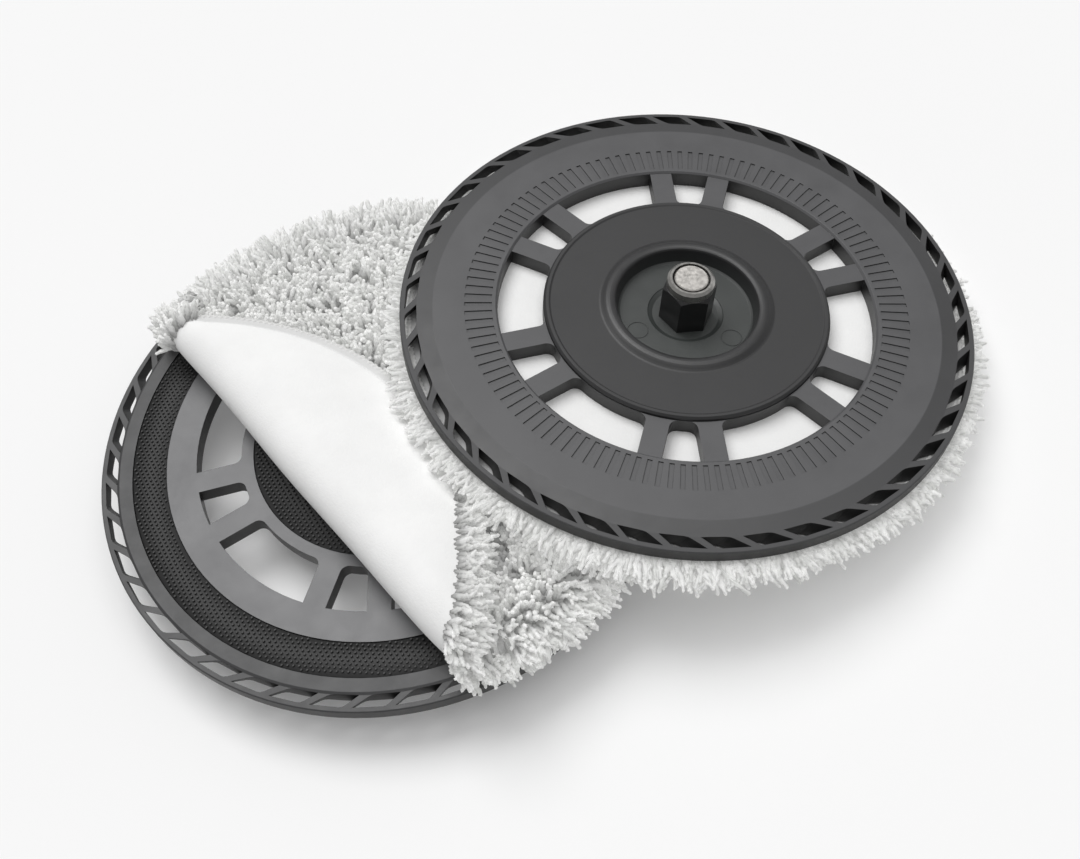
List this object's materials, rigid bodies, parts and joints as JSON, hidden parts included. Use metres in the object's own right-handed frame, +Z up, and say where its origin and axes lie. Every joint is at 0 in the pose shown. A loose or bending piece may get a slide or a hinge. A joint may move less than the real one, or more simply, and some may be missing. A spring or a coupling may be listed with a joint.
{
  "type": "scrubber pad driver pair",
  "caption": "Round moulded pad drivers with hook faces, a hexagonal drive stud with an end magnet and shaggy microfibre pads, one pad half peeled and folded back.",
  "frame": {"origin": "centre of the lower drive stud's end face, where the pair stands on the floor", "axes": "+Z up along the lower driver's spin axis, +X from the lower driver towards the upper one along the pair's length, +Y away from the side the folded pad opens to"},
  "size_m": [0.3625, 0.2667, 0.0547],
  "materials": {
    "plate_plastic": "dark grey moulded plastic with a fine satin grain",
    "hub_plastic": "charcoal moulded plastic, matt, with a slightly shinier lip",
    "stud_black": "black coated drive stud",
    "collar_steel": "turned steel, satin",
    "magnet_nickel": "nickel plated magnet, softly worn",
    "fastener_steel": "zinc plated steel",
    "hook_tape": "black hook tape in slanting rows",
    "backing_fabric": "white brushed loop fabric",
    "binding_fabric": "off-white overlocked edge",
    "pile_fabric": "light grey twisted microfibre pile"
  },
  "bodies": {
    "lower_driver": {"lower_driver_plate": "plate_plastic", "lower_hub": "hub_plastic", "lower_hex_stud": "stud_black", "lower_stud_collar": "collar_steel", "lower_magnet": "magnet_nickel", "lower_stud_bolt": "fastener_steel", "lower_hub_screws": "fastener_steel", "lower_outer_hook_band": "hook_tape", "lower_inner_hook_disc": "hook_tape"},
    "lower_pad": {"lower_pad_backing": "backing_fabric", "lower_pad_binding": "binding_fabric", "lower_pad_pile": "pile_fabric"},
    "lower_flap": {"flap_backing": "backing_fabric", "flap_binding": "binding_fabric", "flap_pile": "pile_fabric"},
    "upper_pad": {"upper_pad_backing": "backing_fabric", "upper_pad_binding": "binding_fabric", "upper_pad_pile": "pile_fabric"},
    "upper_driver": {"upper_driver_plate": "plate_plastic", "upper_hub": "hub_plastic", "upper_hex_stud": "stud_black", "upper_stud_collar": "collar_steel", "upper_magnet": "magnet_nickel", "upper_stud_bolt": "fastener_steel", "upper_hub_screws": "fastener_steel", "upper_outer_hook_band": "hook_tape", "upper_inner_hook_disc": "hook_tape"}
  },
  "joints": [
    {"name": "lower_pad_release", "type": "slide", "parent": "lower_driver", "child": "lower_pad", "axis": [0, 0, 1], "range_m": [0, 0.04]},
    {"name": "flap_peel", "type": "hinge", "parent": "lower_pad", "child": "lower_flap", "pos_m": [-0.02355, -0.01515, 0.03695], "axis": [0.541, -0.841, 0], "range_deg": [0, 80]},
    {"name": "upper_lift", "type": "slide", "parent": "lower_pad", "child": "upper_pad", "axis": [0, 0, 1], "range_m": [0, 0.15]},
    {"name": "upper_pad_release", "type": "slide", "parent": "upper_pad", "child": "upper_driver", "axis": [0.1354, 0.0547, 0.9893], "range_m": [0, 0.04]}
  ],
  "couplings": [
    {"joint": "flap_peel", "follows": "upper_lift", "rad_per_m": 9.3}
  ]
}
